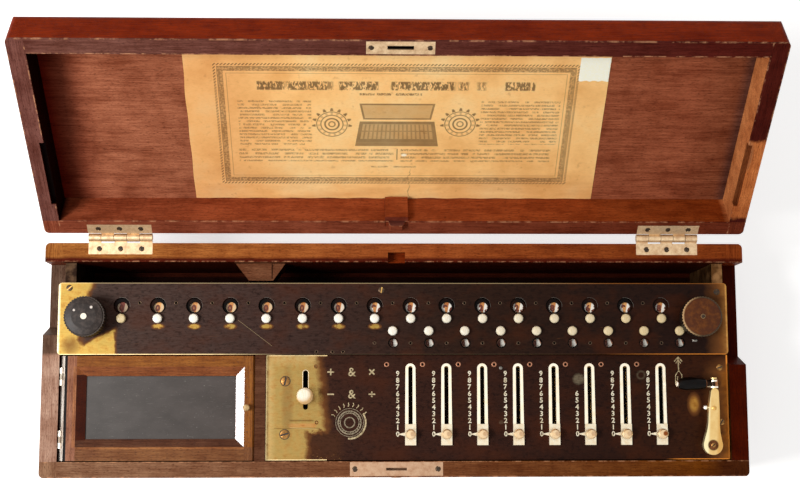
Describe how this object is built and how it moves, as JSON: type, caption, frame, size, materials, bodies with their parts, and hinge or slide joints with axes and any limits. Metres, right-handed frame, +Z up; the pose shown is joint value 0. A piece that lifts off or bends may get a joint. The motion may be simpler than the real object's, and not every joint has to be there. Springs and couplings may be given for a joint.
{
  "type": "arithmometer",
  "caption": "Stepped drum calculating machine in a hinged wooden case, with input sliders, a shifting carriage of number dials, a folding crank and a slate-topped box.",
  "frame": {"origin": "centre of the underside of the case, where it rests", "axes": "+X to the right along the case, +Y from the front to the hinged rear, +Z up"},
  "size_m": [0.59, 0.3519, 0.2486],
  "materials": {
    "case_wood": "french polished, worn",
    "lid_wood": "french polished",
    "bare_brass": "brushed, tarnished",
    "dark_lacquer": "dark lacquer on brass, worn through at the ends",
    "nickel_silver": "polished",
    "steel": "ground",
    "ivory": "polished",
    "slate": "matt, scratched",
    "black_wood": "polished",
    "black_enamel": "gloss",
    "brown_enamel": "worn gloss"
  },
  "bodies": {
    "case": {"case_boards": "case_wood", "case_hardware": "bare_brass", "fixed_plate": "dark_lacquer", "slot_rails": "nickel_silver", "bearing_frame": "bare_brass"},
    "lid": {"lid_boards": "lid_wood", "lid_hardware": "bare_brass"},
    "slate_lid": {"slate_frame": "case_wood", "slate_panel": "slate"},
    "selector": {"selector_knob": "ivory"},
    "crank": {"crank_arm": "bare_brass"},
    "crank_fold": {"crank_yoke": "nickel_silver"},
    "crank_handle": {"crank_grip": "black_wood"},
    "main_shaft": {"main_shaft": "bare_brass"},
    "rod": {"carriage_rod": "steel"},
    "carriage": {"carriage_plate": "dark_lacquer", "carriage_frame": "bare_brass"},
    "left_zero": {"left_zero_knob": "black_enamel"},
    "right_zero": {"right_zero_knob": "brown_enamel"},
    "slider_1": {"digit_slider_1": "nickel_silver"},
    "drum_1": {"stepped_drum_1": "bare_brass"},
    "slider_2": {"digit_slider_2": "nickel_silver"},
    "drum_2": {"stepped_drum_2": "bare_brass"},
    "slider_3": {"digit_slider_3": "nickel_silver"},
    "drum_3": {"stepped_drum_3": "bare_brass"},
    "slider_4": {"digit_slider_4": "nickel_silver"},
    "drum_4": {"stepped_drum_4": "bare_brass"},
    "slider_5": {"digit_slider_5": "nickel_silver"},
    "drum_5": {"stepped_drum_5": "bare_brass"},
    "slider_6": {"digit_slider_6": "nickel_silver"},
    "drum_6": {"stepped_drum_6": "bare_brass"},
    "slider_7": {"digit_slider_7": "nickel_silver"},
    "drum_7": {"stepped_drum_7": "bare_brass"},
    "slider_8": {"digit_slider_8": "nickel_silver"},
    "drum_8": {"stepped_drum_8": "bare_brass"},
    "result_1": {"result_dial_1": "ivory"},
    "result_2": {"result_dial_2": "ivory"},
    "result_3": {"result_dial_3": "ivory"},
    "result_4": {"result_dial_4": "ivory"},
    "result_5": {"result_dial_5": "ivory"},
    "result_6": {"result_dial_6": "ivory"},
    "result_7": {"result_dial_7": "ivory"},
    "result_8": {"result_dial_8": "ivory"},
    "result_9": {"result_dial_9": "ivory"},
    "result_10": {"result_dial_10": "ivory"},
    "result_11": {"result_dial_11": "ivory"},
    "result_12": {"result_dial_12": "ivory"},
    "result_13": {"result_dial_13": "ivory"},
    "result_14": {"result_dial_14": "ivory"},
    "result_15": {"result_dial_15": "ivory"},
    "result_16": {"result_dial_16": "ivory"},
    "counter_1": {"counter_dial_1": "ivory"},
    "counter_2": {"counter_dial_2": "ivory"},
    "counter_3": {"counter_dial_3": "ivory"},
    "counter_4": {"counter_dial_4": "ivory"},
    "counter_5": {"counter_dial_5": "ivory"},
    "counter_6": {"counter_dial_6": "ivory"},
    "counter_7": {"counter_dial_7": "ivory"},
    "counter_8": {"counter_dial_8": "ivory"},
    "counter_9": {"counter_dial_9": "ivory"}
  },
  "joints": [
    {"name": "lid_hinge", "type": "hinge", "parent": "case", "child": "lid", "pos_m": [0, 0.1024, 0.095], "axis": [1, 0, 0], "range_deg": [0, 129.8]},
    {"name": "slate_lid_hinge", "type": "hinge", "parent": "case", "child": "slate_lid", "pos_m": [-0.2788, -0.0405, 0.0935], "axis": [0, 1, 0], "range_deg": [-95, 0]},
    {"name": "selector_slide", "type": "slide", "parent": "case", "child": "selector", "axis": [0, 1, 0], "range_m": [0, 0.0195]},
    {"name": "crank_turn", "type": "hinge", "parent": "case", "child": "crank", "pos_m": [0.262, -0.0718, 0.105], "axis": [0, 0, -1], "range_deg": [0, 360]},
    {"name": "handle_fold", "type": "hinge", "parent": "crank", "child": "crank_fold", "pos_m": [0.2646, -0.02115, 0.105], "axis": [0, -1, 0], "range_deg": [-90, 0]},
    {"name": "handle_spin", "type": "hinge", "parent": "crank_fold", "child": "crank_handle", "pos_m": [0.24635, -0.02115, 0.105], "axis": [1, 0, 0], "continuous": true},
    {"name": "main_shaft_turn", "type": "hinge", "parent": "case", "child": "main_shaft", "pos_m": [0.135, -0.0718, 0.0626], "axis": [-1, 0, 0], "range_deg": [0, 360]},
    {"name": "carriage_lift", "type": "hinge", "parent": "case", "child": "rod", "pos_m": [0, 0.0572, 0.08], "axis": [1, 0, 0], "range_deg": [-18, 0]},
    {"name": "carriage_slide", "type": "slide", "parent": "rod", "child": "carriage", "axis": [-1, 0, 0], "range_m": [-0.24136, 0]},
    {"name": "left_zero_turn", "type": "hinge", "parent": "carriage", "child": "left_zero", "pos_m": [-0.257, 0.0342, 0.105], "axis": [0, 0, 1], "range_deg": [0, 324]},
    {"name": "right_zero_turn", "type": "hinge", "parent": "carriage", "child": "right_zero", "pos_m": [0.254, 0.0342, 0.105], "axis": [0, 0, 1], "range_deg": [0, 324]},
    {"name": "slider_1_slide", "type": "slide", "parent": "case", "child": "slider_1", "axis": [0, 1, 0], "range_m": [0, 0.0504]},
    {"name": "drum_1_turn", "type": "hinge", "parent": "case", "child": "drum_1", "pos_m": [0.0119, -0.0358, 0.0626], "axis": [0, -1, 0], "range_deg": [0, 360]},
    {"name": "slider_2_slide", "type": "slide", "parent": "case", "child": "slider_2", "axis": [0, 1, 0], "range_m": [0, 0.0504]},
    {"name": "drum_2_turn", "type": "hinge", "parent": "case", "child": "drum_2", "pos_m": [0.04207, -0.0358, 0.0626], "axis": [0, -1, 0], "range_deg": [0, 360]},
    {"name": "slider_3_slide", "type": "slide", "parent": "case", "child": "slider_3", "axis": [0, 1, 0], "range_m": [0, 0.0504]},
    {"name": "drum_3_turn", "type": "hinge", "parent": "case", "child": "drum_3", "pos_m": [0.07224, -0.0358, 0.0626], "axis": [0, -1, 0], "range_deg": [0, 360]},
    {"name": "slider_4_slide", "type": "slide", "parent": "case", "child": "slider_4", "axis": [0, 1, 0], "range_m": [0, 0.0504]},
    {"name": "drum_4_turn", "type": "hinge", "parent": "case", "child": "drum_4", "pos_m": [0.10241, -0.0358, 0.0626], "axis": [0, -1, 0], "range_deg": [0, 360]},
    {"name": "slider_5_slide", "type": "slide", "parent": "case", "child": "slider_5", "axis": [0, 1, 0], "range_m": [0, 0.0504]},
    {"name": "drum_5_turn", "type": "hinge", "parent": "case", "child": "drum_5", "pos_m": [0.13258, -0.0358, 0.0626], "axis": [0, -1, 0], "range_deg": [0, 360]},
    {"name": "slider_6_slide", "type": "slide", "parent": "case", "child": "slider_6", "axis": [0, 1, 0], "range_m": [0, 0.0504]},
    {"name": "drum_6_turn", "type": "hinge", "parent": "case", "child": "drum_6", "pos_m": [0.16275, -0.0358, 0.0626], "axis": [0, -1, 0], "range_deg": [0, 360]},
    {"name": "slider_7_slide", "type": "slide", "parent": "case", "child": "slider_7", "axis": [0, 1, 0], "range_m": [0, 0.0504]},
    {"name": "drum_7_turn", "type": "hinge", "parent": "case", "child": "drum_7", "pos_m": [0.19292, -0.0358, 0.0626], "axis": [0, -1, 0], "range_deg": [0, 360]},
    {"name": "slider_8_slide", "type": "slide", "parent": "case", "child": "slider_8", "axis": [0, 1, 0], "range_m": [0, 0.0504]},
    {"name": "drum_8_turn", "type": "hinge", "parent": "case", "child": "drum_8", "pos_m": [0.22309, -0.0358, 0.0626], "axis": [0, -1, 0], "range_deg": [0, 360]},
    {"name": "result_1_turn", "type": "hinge", "parent": "carriage", "child": "result_1", "pos_m": [-0.22946, 0.0337, 0.099], "axis": [0, 0, 1], "continuous": true},
    {"name": "result_2_turn", "type": "hinge", "parent": "carriage", "child": "result_2", "pos_m": [-0.19929, 0.0337, 0.099], "axis": [0, 0, 1], "continuous": true},
    {"name": "result_3_turn", "type": "hinge", "parent": "carriage", "child": "result_3", "pos_m": [-0.16912, 0.0337, 0.099], "axis": [0, 0, 1], "continuous": true},
    {"name": "result_4_turn", "type": "hinge", "parent": "carriage", "child": "result_4", "pos_m": [-0.13895, 0.0337, 0.099], "axis": [0, 0, 1], "continuous": true},
    {"name": "result_5_turn", "type": "hinge", "parent": "carriage", "child": "result_5", "pos_m": [-0.10878, 0.0337, 0.099], "axis": [0, 0, 1], "continuous": true},
    {"name": "result_6_turn", "type": "hinge", "parent": "carriage", "child": "result_6", "pos_m": [-0.07861, 0.0337, 0.099], "axis": [0, 0, 1], "continuous": true},
    {"name": "result_7_turn", "type": "hinge", "parent": "carriage", "child": "result_7", "pos_m": [-0.04844, 0.0337, 0.099], "axis": [0, 0, 1], "continuous": true},
    {"name": "result_8_turn", "type": "hinge", "parent": "carriage", "child": "result_8", "pos_m": [-0.01827, 0.0337, 0.099], "axis": [0, 0, 1], "continuous": true},
    {"name": "result_9_turn", "type": "hinge", "parent": "carriage", "child": "result_9", "pos_m": [0.0119, 0.0337, 0.099], "axis": [0, 0, 1], "continuous": true},
    {"name": "result_10_turn", "type": "hinge", "parent": "carriage", "child": "result_10", "pos_m": [0.04207, 0.0337, 0.099], "axis": [0, 0, 1], "continuous": true},
    {"name": "result_11_turn", "type": "hinge", "parent": "carriage", "child": "result_11", "pos_m": [0.07224, 0.0337, 0.099], "axis": [0, 0, 1], "continuous": true},
    {"name": "result_12_turn", "type": "hinge", "parent": "carriage", "child": "result_12", "pos_m": [0.10241, 0.0337, 0.099], "axis": [0, 0, 1], "continuous": true},
    {"name": "result_13_turn", "type": "hinge", "parent": "carriage", "child": "result_13", "pos_m": [0.13258, 0.0337, 0.099], "axis": [0, 0, 1], "continuous": true},
    {"name": "result_14_turn", "type": "hinge", "parent": "carriage", "child": "result_14", "pos_m": [0.16275, 0.0337, 0.099], "axis": [0, 0, 1], "continuous": true},
    {"name": "result_15_turn", "type": "hinge", "parent": "carriage", "child": "result_15", "pos_m": [0.19292, 0.0337, 0.099], "axis": [0, 0, 1], "continuous": true},
    {"name": "result_16_turn", "type": "hinge", "parent": "carriage", "child": "result_16", "pos_m": [0.22309, 0.0337, 0.099], "axis": [0, 0, 1], "continuous": true},
    {"name": "counter_1_turn", "type": "hinge", "parent": "carriage", "child": "counter_1", "pos_m": [-0.00318, 0.0233, 0.099], "axis": [0, 0, 1], "continuous": true},
    {"name": "counter_2_turn", "type": "hinge", "parent": "carriage", "child": "counter_2", "pos_m": [0.02698, 0.0233, 0.099], "axis": [0, 0, 1], "continuous": true},
    {"name": "counter_3_turn", "type": "hinge", "parent": "carriage", "child": "counter_3", "pos_m": [0.05715, 0.0233, 0.099], "axis": [0, 0, 1], "continuous": true},
    {"name": "counter_4_turn", "type": "hinge", "parent": "carriage", "child": "counter_4", "pos_m": [0.08732, 0.0233, 0.099], "axis": [0, 0, 1], "continuous": true},
    {"name": "counter_5_turn", "type": "hinge", "parent": "carriage", "child": "counter_5", "pos_m": [0.1175, 0.0233, 0.099], "axis": [0, 0, 1], "continuous": true},
    {"name": "counter_6_turn", "type": "hinge", "parent": "carriage", "child": "counter_6", "pos_m": [0.14766, 0.0233, 0.099], "axis": [0, 0, 1], "continuous": true},
    {"name": "counter_7_turn", "type": "hinge", "parent": "carriage", "child": "counter_7", "pos_m": [0.17783, 0.0233, 0.099], "axis": [0, 0, 1], "continuous": true},
    {"name": "counter_8_turn", "type": "hinge", "parent": "carriage", "child": "counter_8", "pos_m": [0.208, 0.0233, 0.099], "axis": [0, 0, 1], "continuous": true},
    {"name": "counter_9_turn", "type": "hinge", "parent": "carriage", "child": "counter_9", "pos_m": [0.23817, 0.0233, 0.099], "axis": [0, 0, 1], "continuous": true}
  ],
  "couplings": [
    {"joint": "main_shaft_turn", "follows": "crank_turn", "ratio": 1},
    {"joint": "drum_1_turn", "follows": "crank_turn", "ratio": 1},
    {"joint": "drum_2_turn", "follows": "crank_turn", "ratio": 1},
    {"joint": "drum_3_turn", "follows": "crank_turn", "ratio": 1},
    {"joint": "drum_4_turn", "follows": "crank_turn", "ratio": 1},
    {"joint": "drum_5_turn", "follows": "crank_turn", "ratio": 1},
    {"joint": "drum_6_turn", "follows": "crank_turn", "ratio": 1},
    {"joint": "drum_7_turn", "follows": "crank_turn", "ratio": 1},
    {"joint": "drum_8_turn", "follows": "crank_turn", "ratio": 1}
  ]
}
